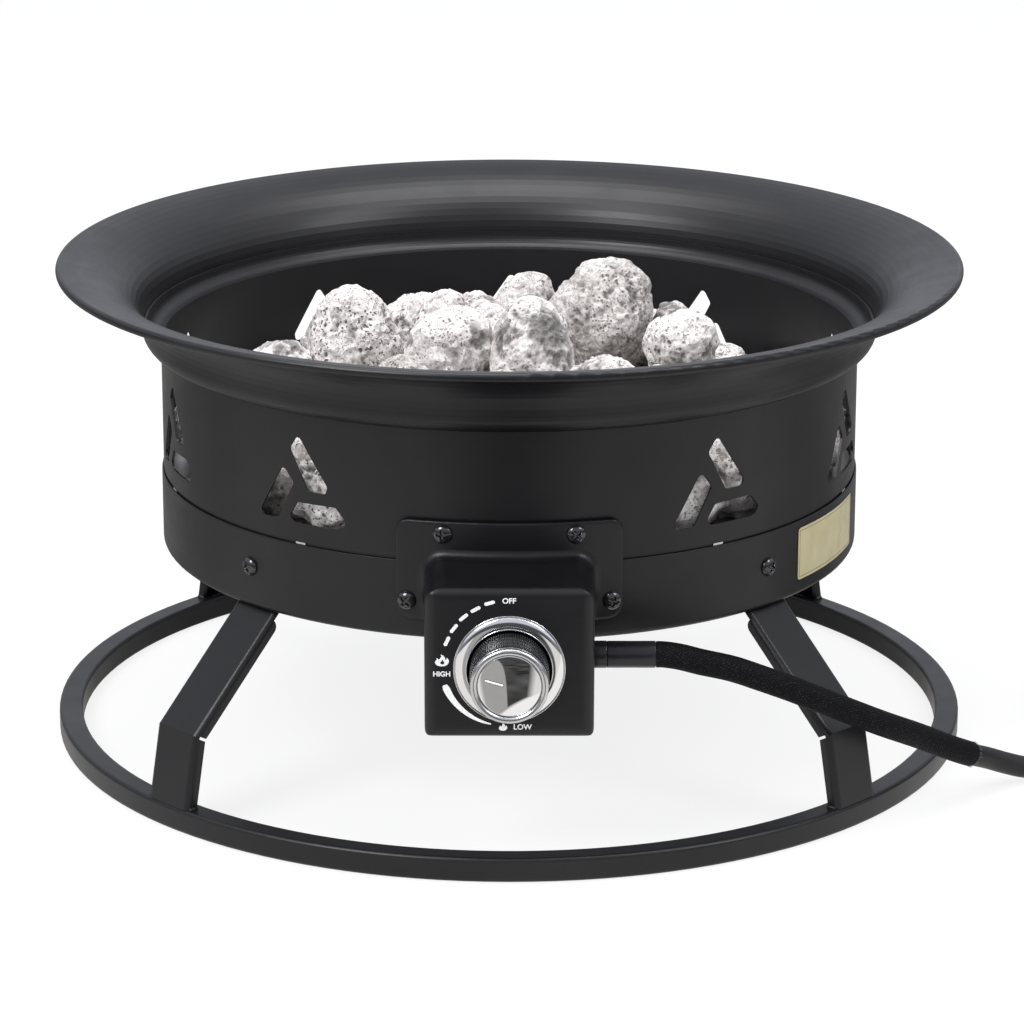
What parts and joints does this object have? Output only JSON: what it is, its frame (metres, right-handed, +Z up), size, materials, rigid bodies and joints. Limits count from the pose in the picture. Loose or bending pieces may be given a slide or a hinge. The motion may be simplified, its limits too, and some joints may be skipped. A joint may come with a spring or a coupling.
{
  "type": "tabletop gas fire pit",
  "caption": "Round steel tabletop gas fire pit: flared rim, windowed drum of lava stone, push-and-turn knob on a front valve box, bent legs on a ground ring, gas hose and regulator.",
  "frame": {"origin": "centre of the ground ring, on the ground it stands on", "axes": "+Z up; the control box faces -Y; the gas hose leaves the box towards +X"},
  "size_m": [0.7457, 0.509, 0.259],
  "materials": {
    "powder_black": "satin black powder coat",
    "black_screw": "glossy black",
    "black_steel": "smooth satin black",
    "zinc_steel": "zinc plated",
    "bare_steel": "bare stainless sheet",
    "brass": "machined",
    "aluminium_tube": "drawn",
    "cast_zinc": "die cast",
    "chrome_trim": "polished",
    "black_plastic": "moulded",
    "regulator_grey": "painted casting",
    "regulator_cap": "black lid",
    "ceramic": "glazed white ceramic",
    "lava_rock": "porous pale volcanic stone",
    "lead_rubber": "smooth insulated wire",
    "hose_rubber": "satin extruded rubber",
    "sleeve_braid": "woven black braid with grey flecks",
    "pale_gold_foil": "satin foil"
  },
  "bodies": {
    "pit": {"ground_ring": "powder_black", "leg_front_right": "powder_black", "leg_rear_right": "powder_black", "leg_rear_left": "powder_black", "leg_front_left": "powder_black", "leg_screws": "zinc_steel", "leg_nuts": "zinc_steel", "base_pan": "powder_black", "pan_screws": "black_screw", "pan_nuts": "zinc_steel", "drum": "powder_black", "flared_rim": "powder_black", "stone_grate": "bare_steel", "lava_stones_bed": "lava_rock", "lava_stones_heap": "lava_rock", "ring_burner": "bare_steel", "burner_posts": "bare_steel", "burner_screws": "zinc_steel", "mixer_tube": "bare_steel", "jet_nozzle": "brass", "gas_tube": "aluminium_tube", "electrode_bracket": "zinc_steel", "electrode_insulator": "ceramic", "igniter_electrode": "zinc_steel", "ignition_lead": "lead_rubber", "rotary_igniter": "black_plastic", "control_housing": "powder_black", "housing_screws": "black_screw", "housing_nuts": "zinc_steel", "dial_bezel": "chrome_trim", "valve_body": "cast_zinc", "valve_screws": "zinc_steel", "return_spring": "zinc_steel", "hose_connector": "brass", "hose_nut": "black_steel", "hose_collar": "black_steel", "braided_sleeve": "sleeve_braid", "gas_hose": "hose_rubber", "gas_hose_coil": "hose_rubber", "gas_hose_tail": "hose_rubber", "hose_ferrule": "brass", "regulator_body": "regulator_grey", "regulator_cover": "regulator_cap", "regulator_nipple": "brass", "foil_patch": "pale_gold_foil"},
    "push_stem": {"stem_collar": "zinc_steel"},
    "knob": {"valve_stem": "zinc_steel", "knob_grip": "black_plastic", "knob_cap": "chrome_trim"},
    "coupling": {"coupling_nut": "black_plastic"}
  },
  "joints": [
    {"name": "knob_push", "type": "slide", "parent": "pit", "child": "push_stem", "axis": [0, 1, 0], "range_m": [0, 0.0035], "stiffness_N_per_m": 3000, "springref_m": -0.002, "deforming": ["return_spring"]},
    {"name": "knob_turn", "type": "hinge", "parent": "push_stem", "child": "knob", "pos_m": [0, -0.24, 0.1085], "axis": [0, -1, 0], "range_deg": [-75, 105]},
    {"name": "nut_turn", "type": "hinge", "parent": "pit", "child": "coupling", "pos_m": [0.4699, 0.2027, 0.0191], "axis": [0, 1, 0], "continuous": true}
  ]
}
